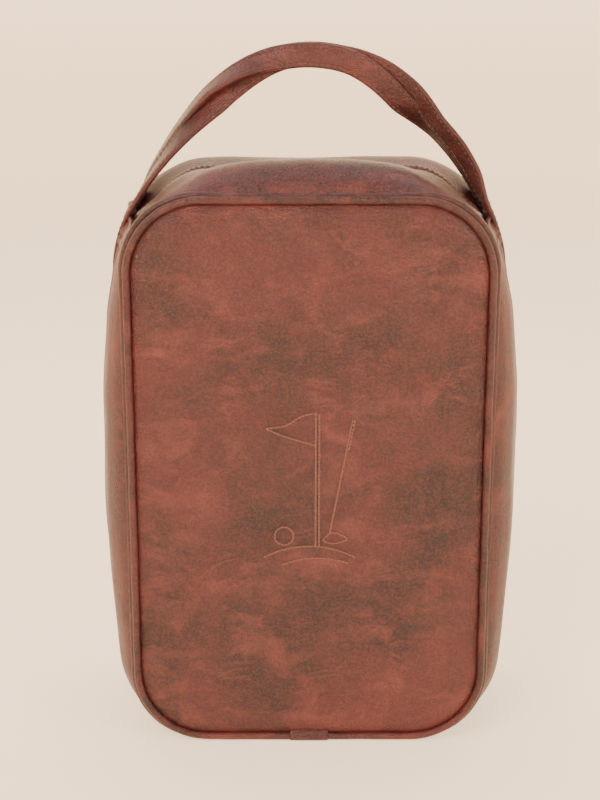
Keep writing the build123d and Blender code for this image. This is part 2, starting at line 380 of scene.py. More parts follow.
def blend_colour(tree, factor, a, b):
    """Colour a where the factor is 0 and b where it is 1."""
    made = node(tree, "ShaderNodeMix", {"data_type": "RGBA"}, i0=factor)
    for socket, value in ((made.inputs[6], a), (made.inputs[7], b)):
        if isinstance(value, bpy.types.NodeSocket):
            tree.links.new(value, socket)
        else:
            socket.default_value = (*value, 1)
    return made.outputs[2]


def cloud(tree, vector, scale, detail=5.0, rough=0.55, warp=0.0):
    made = node(tree, "ShaderNodeTexNoise", None, Vector=vector, Scale=scale, Detail=detail,
                Roughness=rough, Distortion=warp)
    return made.outputs["Fac"]


def line_of(tree, value, middle, width):
    """Thin lines where a smooth value crosses a level."""
    away = maths(tree, "ABSOLUTE", maths(tree, "SUBTRACT", value, middle))
    return step_up(tree, away, width, 0.0)


# The leather's colours, from its body to its dark clouds and its rubbed patches
BASE = (0.057, 0.0090, 0.0108)
DARK = (0.0120, 0.0024, 0.0041)
RUST = (0.094, 0.0158, 0.0155)
TAN = (0.200, 0.046, 0.040)
DRIFT = 30 * MM                               # how far the clouds are pulled about
DRAWN_OUT = (0.45, 1.0, 1.35)                 # creases run across the bag more than up it


def leather(name, lift=1.0, shift=0.0, wear=0.55):
    """Pull-up leather: dark clouds, rusty and tan rubbed patches, soft creases and a pebbled grain."""
    made, tree, shader = material(name)
    moved = vector_maths(tree, "ADD", object_coords(tree), (shift, shift, shift))
    drift = node(tree, "ShaderNodeTexNoise", None, Vector=moved, Scale=24.0, Detail=4.0)
    pushed = node(tree, "ShaderNodeVectorMath", {"operation": "SCALE"}, i0=drift.outputs["Color"])
    pushed.inputs["Scale"].default_value = DRIFT
    wavy = vector_maths(tree, "ADD", moved, pushed.outputs[0])
    drawn = vector_maths(tree, "MULTIPLY", wavy, DRAWN_OUT)

    clouds = step_up(tree, cloud(tree, wavy, 15.0, 7.0, 0.62), 0.39, 0.61)
    mottle = step_up(tree, cloud(tree, wavy, 46.0, 7.0, 0.68), 0.34, 0.68)
    rusty = step_up(tree, cloud(tree, moved, 11.0, 4.0, 0.55), 0.46, 0.64)
    streaks = step_up(tree, cloud(tree, drawn, 36.0, 6.0, 0.6, 0.4), 0.50, 0.72)
    patches = step_up(tree, cloud(tree, wavy, 24.0, 6.0, 0.6, 0.5), 0.54, 0.72)
    breaks = step_up(tree, cloud(tree, moved, 30.0, 3.0), 0.46, 0.64)
    veins = line_of(tree, cloud(tree, drawn, 17.0, 6.0, 0.6, 0.7), 0.5, 0.030)
    veins = maths(tree, "MULTIPLY", veins, breaks)
    pebble = node(tree, "ShaderNodeTexVoronoi", {"feature": "DISTANCE_TO_EDGE"}, Vector=wavy, Scale=520.0)
    valley = step_up(tree, pebble.outputs["Distance"], 0.16, 0.0)

    grain = step_up(tree, cloud(tree, moved, 620.0, 3.0, 0.7), 0.42, 0.62)

    colour = blend_colour(tree, clouds, DARK, BASE)
    layers = (
        (rusty, 0.50, RUST), (mottle, 0.24, BASE), (patches, wear * 0.75, TAN), (streaks, wear * 0.60, TAN),
        (veins, 0.30, TAN), (valley, 0.42, DARK), (grain, 0.20, TAN),
    )
    for mask, strength, layer in layers:
        colour = blend_colour(tree, maths(tree, "MULTIPLY", mask, strength), colour, layer)
    lifted = node(tree, "ShaderNodeHueSaturation", None, Color=colour)
    lifted.inputs["Value"].default_value = lift
    tree.links.new(lifted.outputs[0], shader.inputs["Base Color"])

    polish = scale_and_add(tree, clouds, 0.07, 0.33)
    polish = maths(tree, "ADD", polish, maths(tree, "MULTIPLY", patches, 0.08))
    tree.links.new(polish, shader.inputs["Roughness"])
    shader.inputs["Specular IOR Level"].default_value = 0.42
    shader.inputs["Sheen Weight"].default_value = 0.02
    shader.inputs["Sheen Roughness"].default_value = 0.4
    shader.inputs["Sheen Tint"].default_value = (1.0, 0.82, 0.66, 1)

    fine = cloud(tree, moved, 2100.0, 2.0)
    soft = cloud(tree, wavy, 120.0, 5.0)
    crease = line_of(tree, cloud(tree, drawn, 70.0, 4.0, 0.55, 0.8), 0.5, 0.02)
    height = maths(tree, "MULTIPLY", valley, -0.55)
    for wave, share in ((fine, 0.30), (soft, 1.7), (crease, -0.30)):
        height = maths(tree, "ADD", height, maths(tree, "MULTIPLY", wave, share))
    add_bump(tree, shader, height, 0.75, 0.45 * MM)
    return made


def woven(name, light, dark, scale):
    """A plain weave, from two crossed waves."""
    made, tree, shader = material(name)
    coords = object_coords(tree)
    warp = node(tree, "ShaderNodeTexWave", {"bands_direction": "X"}, Vector=coords, Scale=scale)
    weft = node(tree, "ShaderNodeTexWave", {"bands_direction": "DIAGONAL"}, Vector=coords, Scale=scale)
    weave = maths(tree, "MULTIPLY", warp.outputs["Fac"], weft.outputs["Fac"])
    dust = cloud(tree, coords, 300.0)
    tint = maths(tree, "ADD", maths(tree, "MULTIPLY", weave, 0.7), maths(tree, "MULTIPLY", dust, 0.3))
    tree.links.new(blend_colour(tree, tint, dark, light), shader.inputs["Base Color"])
    shader.inputs["Roughness"].default_value = 0.85
    add_bump(tree, shader, weave, 0.6, 0.2 * MM)
    return made


def twisted_thread(name, light, dark):
    """Waxed thread, with its twist as slanting bands."""
    made, tree, shader = material(name)
    coords = object_coords(tree)
    strand = node(tree, "ShaderNodeTexWave", {"bands_direction": "DIAGONAL"}, Vector=coords,
                  Scale=420.0, Distortion=2.0)
    tree.links.new(blend_colour(tree, strand.outputs["Fac"], dark, light), shader.inputs["Base Color"])
    shader.inputs["Roughness"].default_value = 0.55
    shader.inputs["Sheen Weight"].default_value = 0.3
    add_bump(tree, shader, strand.outputs["Fac"], 0.5, 0.1 * MM)
    return made


def aged_metal(name, bright, dull):
    """Metal with dull, rougher patches of tarnish."""
    made, tree, shader = material(name)
    coords = object_coords(tree)
    tarnish = step_up(tree, cloud(tree, coords, 160.0, 6.0, 0.7), 0.4, 0.7)
    colour = blend_colour(tree, tarnish, bright, dull)
    tree.links.new(colour, shader.inputs["Base Color"])
    shader.inputs["Metallic"].default_value = 1.0
    tree.links.new(scale_and_add(tree, tarnish, 0.25, 0.25), shader.inputs["Roughness"])
    return made


def pressed_board(name):
    """Grey-brown fibre board."""
    made, tree, shader = material(name)
    coords = object_coords(tree)
    fibre = cloud(tree, coords, 420.0, 6.0, 0.7)
    colour = blend_colour(tree, fibre, (0.30, 0.22, 0.14), (0.48, 0.38, 0.26))
    tree.links.new(colour, shader.inputs["Base Color"])
    shader.inputs["Roughness"].default_value = 0.9
    return made


LEATHER_SKIN = leather("marbled_leather")
LEATHER_GUSSET = leather("gusset_leather", 1.06, 0.31, 0.6)
LEATHER_EDGE = leather("piping_leather", 0.95, 0.53, 0.45)
LEATHER_STRAP = leather("strap_leather", 1.0, 0.77, 0.5)
# The leather at half brightness: painted shade, for the grooves of the stitched picture.
LEATHER_GROOVE_SHADE = leather("groove_shade_leather", 0.5, 0.0, 0.1)
LINING = woven("cotton_lining", (0.42, 0.34, 0.25), (0.26, 0.20, 0.14), 240.0)
TAPE = woven("zip_tape_weave", (0.46, 0.36, 0.24), (0.22, 0.16, 0.10), 330.0)
THREAD = twisted_thread("dark_thread", (0.085, 0.030, 0.022), (0.030, 0.011, 0.009))
MOTIF_THREAD = twisted_thread("motif_thread", (0.210, 0.062, 0.036), (0.070, 0.020, 0.014))
ZIP_THREAD = twisted_thread("zip_thread", (0.190, 0.080, 0.048), (0.090, 0.032, 0.022))
BRASS = aged_metal("aged_brass", (0.60, 0.42, 0.19), (0.30, 0.20, 0.10))
BRONZE = aged_metal("dark_bronze", (0.070, 0.040, 0.026), (0.030, 0.018, 0.014))
BOARD = pressed_board("pressed_board")


# ---------------------------------------------------------------- stitches
# Along one stitch: (place along it, rise over the leather, thickness), as shares of its length and radius
STITCH_STEPS = (
    (-0.5, -1.1, 0.55), (-0.40, -0.1, 0.9), (-0.15, 0.35, 1.0),
    (0.15, 0.35, 1.0), (0.40, -0.1, 0.9), (0.5, -1.1, 0.55),
)
STITCH_SIDES = 6


def stitch_rows(name, places, material_used, length=2.7 * MM, radius=0.38 * MM, body="bag"):
    """Short sewn threads. places holds (centre, along, up) for each; their ends dip into the leather."""
    verts, faces = [], []
    for centre, forward, up in places:
        centre, forward, up = Vector(centre), Vector(forward).normalized(), Vector(up).normalized()
        across = forward.cross(up).normalized()
        start = len(verts)
        for f, rise, fat in STITCH_STEPS:
            middle = centre + forward * (f * length) + up * (rise * radius)
            for k in range(STITCH_SIDES):
                turn = 2 * math.pi * k / STITCH_SIDES
                verts.append(middle + (across * math.cos(turn) + up * math.sin(turn)) * radius * fat)
        faces += grid_faces(len(STITCH_STEPS), STITCH_SIDES, closed_columns=True, start=start)
        faces += end_caps(len(STITCH_STEPS), STITCH_SIDES, start)
    return make_object(name, verts, faces, material_used, body)


def spaced(points, gap):
    """Evenly spaced (place, direction) along a polyline of points."""
    points = np.array(points, float)
    legs = np.linalg.norm(np.diff(points, axis=0), axis=1)
    run = np.concatenate([[0], np.cumsum(legs)])
    count = max(2, int(run[-1] / gap))
    found = []
    for f in (np.arange(count) + 0.5) / count * run[-1]:
        k = min(len(legs) - 1, int(np.searchsorted(run, f, side="right")) - 1)
        direction = (points[k + 1] - points[k]) / legs[k]
        found.append((points[k] + direction * (f - run[k]), direction))
    return found


# ---------------------------------------------------------------- gusset and top
FOLD_DROP = 12 * MM                           # height of the side gusset's turned upper edge
FOLD_STITCH = 9.5 * MM                        # from that edge down to its stitches
GROUND = 0.1 * MM
STRAP_Y = 18 * MM
ZIP_EDGE = 5.0 * MM / EDGE_Y                  # the strips' edges, as a share of the depth
OVERLAP = 3                                   # places that the side gusset runs on under the top


def loop_run():
    """Distance along the loop to each of its places."""
    steps = np.linalg.norm(np.diff(LOOP[:, :2], axis=0), axis=1)
    return np.concatenate([[0], np.cumsum(steps)])


RUN = loop_run()
TOP_PART = np.where(LOOP[:, 1] + LOOP[:, 3] * 10 * MM > SEAM_Z + 3 * MM)[0]
SIDE_PART = np.concatenate([np.arange(TOP_PART[-1] - OVERLAP, len(LOOP)),
                            np.arange(0, TOP_PART[0] + OVERLAP + 1)])


def skin(name, rows, depths, material_used, inset=0.0, lift=None, seed=1.0):
    """A stretch of the gusset's skin as an open sheet, and its points."""
    points = barrel(depths, inset)
    crumple(points, OUTWARD, seed)
    if lift is not None:
        points += OUTWARD[:, None, :] * lift[:, :, None]
    points = points[rows]
    points[:, :, 2] = np.maximum(points[:, :, 2], GROUND)
    verts = points.reshape(-1, 3)
    return make_object(name, verts, grid_faces(len(rows), len(depths)), material_used), points


def bell(away, width, power=2):
    """1 where away is 0, falling to nothing over about twice the width."""
    return np.exp(-(away / width) ** power)


def fold_lift(depths):
    """The side gusset's turned upper edge, raised over the strap ends, and its soft crease below."""
    lift = np.zeros((len(LOOP), len(depths)))
    y = np.array(depths) * EDGE_Y
    forward = -y[None, :]
    by_strap = bell(np.abs(y) - STRAP_Y, 9.5 * MM, 4)[None, :]
    for edge in (SIDE_PART[0], SIDE_PART[-1]):
        drop = np.abs(RUN - RUN[edge])
        flap = np.where(drop < FOLD_DROP, 1.0, np.clip(1 - (drop - FOLD_DROP) / (2.5 * MM), 0, 1))
        groove = bell(drop - FOLD_STITCH, 1.1 * MM)
        over = bell(drop, 15 * MM)[:, None] * by_strap
        lift += (1.9 * flap - 1.1 * groove)[:, None] * MM + 1.7 * MM * over
        lean = (STRAP_Y + 6 * MM + 0.16 * drop)[:, None]
        ridge = bell(forward - lean, 2.2 * MM)
        dip = bell(forward - lean + 5 * MM, 3.4 * MM)
        fade = np.clip(drop / (8 * MM), 0, 1) * np.clip(1 - drop / (88 * MM), 0, 1)
        lift += fade[:, None] * (1.7 * ridge - 1.2 * dip) * MM
    return lift


SKIN_DEPTHS = np.concatenate([np.linspace(-1, -0.86, 8), np.linspace(-0.84, 0.84, 61),
                              np.linspace(0.86, 1, 8)])
FRONT_DEPTHS = np.linspace(-1, -ZIP_EDGE, 34)
REAR_DEPTHS = np.linspace(ZIP_EDGE, 1, 34)

side_gusset, side_points = skin("side_gusset_leather", SIDE_PART, SKIN_DEPTHS, LEATHER_GUSSET,
                                lift=fold_lift(SKIN_DEPTHS))
thicken(side_gusset, LEATHER)
finish_piece(side_gusset, "leather", "side_gusset", "gusset_end_fold_left", "gusset_end_fold_right")


def zip_turn(depths):
    """The turned edge beside the zip: a soft roll down to the tape."""
    near = (np.abs(np.array(depths)) - ZIP_EDGE) * EDGE_Y
    roll = 0.5 * MM * bell(near - 3 * MM, 1.6 * MM) - 1.3 * MM * bell(near, 1.1 * MM)
    return np.repeat(roll[None, :], len(LOOP), axis=0)


# name, depths, the stitched column beside the zip, seed
TOP_STRIPS = (("front", FRONT_DEPTHS, -3, 2.0), ("rear", REAR_DEPTHS, 2, 5.0))
zip_seams = {}
for name, depths, column, seed in TOP_STRIPS:
    piece, top_points = skin(f"top_gusset_{name}_leather", TOP_PART, depths, LEATHER_GUSSET,
                             lift=zip_turn(depths), seed=seed)
    thicken(piece, LEATHER)
    finish_piece(piece, "leather", f"top_gusset_{name}")
    zip_seams[name] = top_points[6:-6, column]


def top_stitches():
    """Running stitches beside the zip on both strips."""
    for name, seam in zip_seams.items():
        places = [(p, d, (p[0] * 0.4, 0, 0.1)) for p, d in spaced(seam, SEWING_GAP)]
        finish_piece(stitch_rows(f"zip_stitching_{name}", places, ZIP_THREAD, 2.4 * MM, 0.3 * MM), "thread")


def fold_stitches():
    """A line of stitches across the folded end of the side gusset, on each side."""
    for name, end in (("right", 0), ("left", -1)):
        rows = SIDE_PART if end == 0 else SIDE_PART[::-1]
        edge = RUN[rows[0]]
        row = next(k for k, r in enumerate(rows) if abs(RUN[r] - edge) > FOLD_STITCH)
        line = side_points[row if end == 0 else len(rows) - 1 - row][10:-10]
        outward = OUTWARD[rows[row]]
        places = [(p, d, outward) for p, d in spaced(line, SEWING_GAP)]
        finish_piece(stitch_rows(f"fold_stitching_{name}", places, THREAD), "thread")


ROLLED_HIGH, ROLLED_WIDE = 1.35, 1.9          # half sizes of a fold's rolled edge, in mm


def fold_rolls():
    """The rolled upper edge of the side gusset, where it is turned over the straps' feet."""
    sides = 10
    for name, end in (("right", 0), ("left", -1)):
        line = side_points[end][9:-9]
        outward = OUTWARD[SIDE_PART[end]]
        down = np.array([outward[2], 0, -outward[0]]) * (1 if end == 0 else -1)
        verts = []
        for k, p in enumerate(line):
            fade = math.sin(math.pi * (k + 0.5) / len(line)) ** 0.3
            for j in range(sides):
                turn = 2 * math.pi * j / sides
                reach = outward * math.sin(turn) * ROLLED_HIGH + down * math.cos(turn) * ROLLED_WIDE
                verts.append(p + reach * fade * MM)
        faces = grid_faces(len(line), sides, closed_columns=True) + end_caps(len(line), sides)
        finish_piece(make_object(f"fold_roll_{name}", verts, faces, LEATHER_EDGE), "edge_leather")


top_stitches()
fold_stitches()
fold_rolls()

LINING_INSET = 3.2 * MM
# name, node, rows, depths
LININGS = (
    ("gusset", "gusset_lining", SIDE_PART, np.linspace(-0.985, 0.985, 30)),
    ("top_front", "top_lining_front", TOP_PART, np.linspace(-0.985, -0.16, 12)),
    ("top_rear", "top_lining_rear", TOP_PART, np.linspace(0.16, 0.985, 12)),
)
for name, lined_node, rows, depths in LININGS:
    piece, _ = skin(f"{name}_lining_cloth", rows, depths, LINING, inset=LINING_INSET)
    thicken(piece, CLOTH)
    finish_piece(piece, "lining", lined_node)


# ---------------------------------------------------------------- panels, piping and edge rolls
def rounded_depth(x, z, half_w, half_h, radius):
    """How far inside a rounded rectangle a place lies."""
    qx, qz = abs(x) - (half_w - radius), abs(z - PATH_MID) - (half_h - radius)
    outside = math.hypot(max(qx, 0), max(qz, 0))
    return radius - outside - min(max(qx, qz), 0)


PANEL_TUCK = 1.2 * MM                         # how far a panel stops short of the piping's middle
PANEL_SINK = 1.6 * MM                         # and how far below it the panel starts
PUFF = 5.2 * MM
PUFF_WIDTH = 5 * MM
CALM_EDGE = 14 * MM                           # near its edge, the panel's dents fade out
FRONT_SEED = 4.0                              # the front panel's own dents
EDGE_STEPS = np.array([0, 0.5, 1, 1.7, 2.6, 3.8, 5.4, 7.5, 10, 13]) * MM


def panel_height(x, z, seed):
    """How far a panel stands from the bag's middle plane."""
    half_w, half_h = HALF_W - PANEL_TUCK, (PATH_TOP - PATH_BOTTOM) / 2 - PANEL_TUCK
    inside = max(0, rounded_depth(x, z, half_w, half_h, PATH_R - PANEL_TUCK))
    puff = PUFF * (1 - math.exp(-inside / PUFF_WIDTH)) - PANEL_SINK
    place = (x, 0.2 * seed, z)
    dents = 0.55 * ripple(place, 13, seed) + 0.16 * ripple(place, 55, seed)
    return PIPE_Y + puff + min(1, inside / CALM_EDGE) * dents * MM


def panel(name, side, seed):
    """A puffed leather panel: rings of the outline, drawn in to its middle."""
    half_w = HALF_W - PANEL_TUCK
    steps = np.concatenate([EDGE_STEPS, np.linspace(17 * MM, half_w, 34)])
    verts = []
    for inward in steps[:-1]:
        scale = 1 - inward / half_w
        for x, z, nx, nz, _ in LOOP:
            px = (x - nx * PANEL_TUCK) * scale
            pz = PATH_MID + (z - nz * PANEL_TUCK - PATH_MID) * scale
            verts.append((px, side * panel_height(px, pz, seed), pz))
    faces = grid_faces(len(steps) - 1, len(LOOP), closed_columns=True)
    verts.append((0, side * panel_height(0, PATH_MID, seed), PATH_MID))
    last = (len(steps) - 2) * len(LOOP)
    for j in range(len(LOOP)):
        faces.append((last + j, last + (j + 1) % len(LOOP), len(verts) - 1))
    piece = make_object(f"{name}_panel_leather", verts, faces, LEATHER_SKIN)
    thicken(piece, LEATHER)
    finish_piece(piece, "leather", f"{name}_panel")


def ring_tube(name, out, y, radius, seed):
    """A round roll that follows the panels' outline, with the small unevenness of sewn leather."""
    sides = 14
    verts = []
    for k, (x, z, nx, nz, _) in enumerate(LOOP):
        size = radius * (1 + 0.05 * ripple((x, y, z), 120, seed))
        push = out[k] + 0.25 * MM * ripple((x, y, z), 60, seed + 1)
        for j in range(sides):
            turn = 2 * math.pi * j / sides
            reach = push + size * math.cos(turn)
            verts.append((x + nx * reach, y + size * math.sin(turn), max(z + nz * reach, 0)))
    return make_object(name, verts, grid_faces(len(LOOP), sides, True, True), LEATHER_EDGE)


# The gusset's rolled edge behind the piping: how far it stands out, in mm: (station, amount)
ROLL_OUT = [(0, 1.3), (0.8, 1.6), (1.5, 3.4), (2.1, 2.6), (2.9, 2.2), (3.5, 3.2), (4.2, 1.2), (5, 0.6)]
ROLL_R = 2.7 * MM
ROLL_BACK = 5.6 * MM
TAB_W = 25 * MM
TAB_GROW = 0.7 * MM                           # the sleeve's leather over the piping
TAB_RISE = 2.0 * MM                           # its overlap on the panel


def piping_tab(name, side):
    """A short leather sleeve sewn over the piping's joint."""
    verts = []
    spans = np.linspace(-TAB_W / 2, TAB_W / 2, 22)
    sides = 20
    for x in spans:
        end = 1 - 0.25 * math.exp(-((TAB_W / 2 - abs(x)) / (0.7 * MM)))
        for j in range(sides):
            turn = 2 * math.pi * j / sides
            size = (PIPE_R + TAB_GROW * end) * (1 + 0.02 * ripple((x, j * 0.01, 0), 200, 3))
            up = size * math.sin(turn) + TAB_RISE * max(0, math.sin(turn)) ** 2
            verts.append((x, side * (PIPE_Y + size * math.cos(turn)), PATH_BOTTOM + up))
    faces = grid_faces(len(spans), sides, closed_columns=True) + end_caps(len(spans), sides)
    piece = make_object(f"{name}_piping_tab_leather", verts, faces, LEATHER_EDGE)
    finish_piece(piece, "edge_leather", f"{name}_piping_tab")


for name, side, seed in (("front", -1, FRONT_SEED), ("rear", 1, 9.0)):
    panel(name, side, seed)
    piping = ring_tube(f"{name}_piping_leather", np.zeros(len(LOOP)), side * PIPE_Y, PIPE_R, seed)
    finish_piece(piping, "edge_leather", f"{name}_piping")
    roll_y = side * (PIPE_Y - ROLL_BACK)
    finish_piece(ring_tube(f"{name}_edge_roll", along(ROLL_OUT), roll_y, ROLL_R, seed + 2), "edge_leather")
    piping_tab(name, side)


# ---------------------------------------------------------------- zip
ZIP_PART = TOP_PART[7:-7]                      # its tapes stop short of the folds
ZIP_FLAT = 66 * MM                            # the sliders' straight stretch, each way from the middle
TEETH_END = 68.5 * MM
TAPE_SINK = 2.2 * MM
TAPE_IN, TAPE_OUT = 0.9 * MM, 9.5 * MM        # a tape's edges, from the zip's middle
TOOTH_GAP = 3.0 * MM
TOOTH_LONG = 1.5 * MM
# A tooth from above: (along, across from its tape to its nose), and its layers up: (rise in mm, scale)
TOOTH = ((-0.5, 0.0), (-0.62, 0.55), (-0.42, 0.9), (0.42, 0.9), (0.62, 0.55), (0.5, 0.0))
TOOTH_LAYERS = ((-1.0, 0.8), (-0.7, 1.0), (0.7, 1.0), (1.0, 0.8))
TOOTH_ROOT, TOOTH_REACH = 3.0, 2.6            # in mm


def zip_line():
    """The zip's middle line over the top."""
    centre = barrel(np.array([0.0]), TAPE_SINK)[ZIP_PART][:, 0]
    centre[np.abs(centre[:, 0]) < ZIP_FLAT, 2] = centre[:, 2].max()
    return centre


def zip_tapes():
    """Two strips of woven tape, one each side of the zip's middle line."""
    centre = zip_line()
    for name, side in (("front", -1), ("rear", 1)):
        across = np.linspace(TAPE_IN, TAPE_OUT, 7) * side
        verts = [p + np.array([0, y, 0]) for p in centre for y in across]
        piece = make_object(f"zip_tape_{name}_weave", verts, grid_faces(len(centre), len(across)), TAPE)
        thicken(piece, CLOTH, 0)
        finish_piece(piece, "tape", f"zip_tape_{name}")


def zip_teeth():
    """Moulded teeth on both tapes, interlocked along the middle line."""
    centre = zip_line()
    marks = spaced(centre[np.abs(centre[:, 0]) < TEETH_END], TOOTH_GAP)
    for name, side, phase in (("front", -1, 0.0), ("rear", 1, 0.5)):
        verts, faces = [], []
        for k, (p, d) in enumerate(marks[:-1]):
            p = p + (marks[k + 1][0] - p) * phase
            up = np.array([-d[2], 0, d[0]])
            up = up if up[2] > 0 else -up
            start = len(verts)
            for rise, scale in TOOTH_LAYERS:
                for a, b in TOOTH:
                    across = np.array([0, side * (TOOTH_ROOT - TOOTH_REACH * b) * MM, 0])
                    verts.append(p + d * a * TOOTH_LONG * scale + up * rise * MM + across)
            faces += grid_faces(len(TOOTH_LAYERS), len(TOOTH), closed_columns=True, start=start)
            faces += end_caps(len(TOOTH_LAYERS), len(TOOTH), start)
        piece = make_object(f"zip_teeth_{name}_row", verts, faces, BRASS)
        finish_piece(piece, "metal", f"zip_teeth_{name}")


zip_tapes()
zip_teeth()

# ---------------------------------------------------------------- handle
# The pair's middle line in X and Z, from the crown down to a sewn-in end, in mm
HALF_ARCH = [
    (0, 441), (22, 438), (43, 428.5), (62, 414), (78.5, 397), (91, 381), (101, 366), (109.5, 351),
    (115, 341.5), (118.4, 333.5), (121, 325), (122.6, 316), (123.3, 306),
]
# Along the arch, in mm from the crown, left is negative: (place, value). Depth and rise are in mm, and
# turn is in degrees, 0 where the strap's width points back
STRAPS = {
    "lower": {
        "depth": [(-195, 17), (-165, 18), (-149, 16), (-131, 12), (-113, 8), (-93, 4.5), (-69, 0.5),
                  (-45, -2.4), (45, -2.2), (69, 1), (93, 5.5), (113, 9), (131, 13), (149, 16), (165, 18),
                  (195, 17)],
        "rise": [(-149, 0), (-131, 1.5), (-113, 2), (-93, 3), (-69, 4.8), (-45, 3.2), (-15, 0),
                 (30, -0.5), (50, -2.5), (69, -4.5), (93, -2), (113, -0.5), (131, 0)],
        "turn": [(-149, 0), (-131, 6), (-93, 12), (-69, 16), (-45, 38), (-30, 58), (-15, 80), (0, 88),
                 (30, 92), (50, 96), (69, 112), (85, 140), (100, 158), (131, 170), (149, 180)],
        "nodes": ("rear_strap", "rear_strap_core", "strap_ends_left", "strap_tails_left"),
        "seed": 11.0,
    },
    "upper": {
        "depth": [(-195, -17), (-165, -18), (-149, -16), (-131, -12), (-113, -9), (-93, -6), (-69, -2.2),
                  (-45, 1.4), (-20, 2.4), (45, 2.4), (69, -0.8), (93, -6), (113, -10), (131, -13),
                  (149, -16), (165, -18), (195, -17)],
        "rise": [(-149, 0), (-131, -1), (-113, -2), (-93, -3), (-69, -4.8), (-45, -3), (-15, 0), (20, 0.5),
                 (45, 3.5), (69, 5), (93, 3), (113, 4), (131, 3.5), (149, 1), (165, 0)],
        "turn": [(-149, 0), (-131, 8), (-113, 20), (-93, 40), (-69, 60), (-45, 76), (-20, 88), (0, 92),
                 (45, 100), (69, 122), (93, 143), (113, 142), (131, 150), (149, 175), (165, 180)],
        "nodes": ("front_strap", "front_strap_core", "strap_ends_right", "strap_tails_right"),
        "seed": 14.0,
    },
}
ARCH_STEPS = 260
CURVE_STEPS = 24                              # between two points of a curve


def smooth_path(points, count):
    """Even places along a Catmull-Rom curve through points, and their distances from its middle."""
    points = np.array(points, float)
    padded = np.vstack([2 * points[0] - points[1], points, 2 * points[-1] - points[-2]])
    dense = []
    for k in range(1, len(padded) - 2):
        p0, p1, p2, p3 = padded[k - 1:k + 3]
        for f in np.linspace(0, 1, CURVE_STEPS, endpoint=False):
            dense.append(0.5 * (2 * p1 + (p2 - p0) * f + (2 * p0 - 5 * p1 + 4 * p2 - p3) * f**2
                                + (3 * p1 - p0 - 3 * p2 + p3) * f**3))
    dense.append(points[-1])
    dense = np.array(dense)
    run = np.concatenate([[0], np.cumsum(np.linalg.norm(np.diff(dense, axis=0), axis=1))])
    at = np.linspace(0, run[-1], count)
    even = np.stack([np.interp(at, run, dense[:, k]) for k in range(dense.shape[1])], axis=1)
    return even, at - run[-1] / 2


def arch():
    """The whole arch, from the left sewn-in end to the right one."""
    left = [(-x, z) for x, z in reversed(HALF_ARCH[1:])]
    return smooth_path(left + HALF_ARCH, ARCH_STEPS)


def read(table, places, passes):
    """A table of values read at the places, smoothed."""
    at, value = zip(*table)
    made = np.interp(places, at, value)
    for _ in range(passes):
        made[1:-1] = (made[:-2] + 2 * made[1:-1] + made[2:]) / 4
    return made


def strap_frames(table):
    """Centre, width direction and thickness direction at each step of a strap."""
    path, places = arch()
    run = np.gradient(path, axis=0)
    run /= np.linalg.norm(run, axis=1)[:, None]
    normal = np.stack([-run[:, 1], run[:, 0]], axis=1)
    rise, depth, turn = (read(table[key], places, 8) for key in ("rise", "depth", "turn"))
    centre = np.zeros((len(path), 3))
    centre[:, 0] = path[:, 0] + normal[:, 0] * rise
    centre[:, 2] = path[:, 1] + normal[:, 1] * rise
    centre[:, 1] = depth
    centre *= MM
    forward = np.gradient(centre, axis=0)
    forward /= np.linalg.norm(forward, axis=1)[:, None]
    angle = np.radians(turn)
    width = np.zeros_like(centre)
    width[:, 0] = np.sin(angle) * normal[:, 0]
    width[:, 2] = np.sin(angle) * normal[:, 1]
    width[:, 1] = np.cos(angle)
    width -= forward * np.sum(width * forward, axis=1)[:, None]
    width /= np.linalg.norm(width, axis=1)[:, None]
    thick = np.cross(forward, width)
    return centre, width, thick


def strap_section():
    """A turned-edge strap: flat faces with a slight crown, round edges, and a groove under each seam."""
    half_w, half_t = STRAP_W / 2, STRAP_T / 2
    round_r = half_t
    flat = half_w - round_r
    face = []
    for x in np.linspace(-flat, flat, 15):
        seam = bell(abs(x) - (half_w - STITCH_IN), 0.55 * MM)
        face.append((x, half_t + 0.12 * MM * (1 - (x / flat) ** 2) - 0.28 * MM * seam))
    edge = [(flat + round_r * math.sin(a), round_r * math.cos(a))
            for a in np.linspace(0.3, math.pi - 0.3, 7)]
    top = face + edge
    return top + [(-x, -z) for x, z in face] + [(-x, -z) for x, z in edge]


SECTION = strap_section()
SEWN_IN = 16                                  # steps at each end with no stitches on show
BAR_HEIGHTS = (346 * MM, 352 * MM, 355.5 * MM)
BAR_PLACES = (-5.1, -1.7, 1.7, 5.1)           # stitches across the strap, in mm from its middle


def hang_between(piece):
    """Bakes a strap's transform into its mesh."""
    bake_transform(piece)


def edge_stitches(centre, width, thick):
    """Stitches along both edges of a strap, on both faces."""
    places = []
    bare = slice(SEWN_IN, len(centre) - SEWN_IN)
    for edge in (-1, 1):
        for face in (-1, 1):
            out = thick * face
            line = (centre + width * edge * (STRAP_W / 2 - STITCH_IN) + out * (STRAP_T / 2 - 0.15 * MM))[bare]
            for p, d in spaced(line, SEWING_GAP):
                k = int(np.argmin(np.linalg.norm(line - p, axis=1)))
                places.append((p, d, out[bare][k]))
    return places


def bar_stitches(centre, width, thick):
    """Three short rows across each foot of a strap, on both faces."""
    places = []
    half = len(centre) // 2
    for foot in (slice(0, half), slice(half, len(centre))):
        for height in BAR_HEIGHTS:
            k = foot.start + int(np.argmin(np.abs(centre[foot, 2] - height)))
            for face in (-1, 1):
                up = thick[k] * face
                middle = centre[k] + up * (STRAP_T / 2 + 0.1 * MM)
                places += [(middle + width[k] * x * MM, width[k], up) for x in BAR_PLACES]
    return places


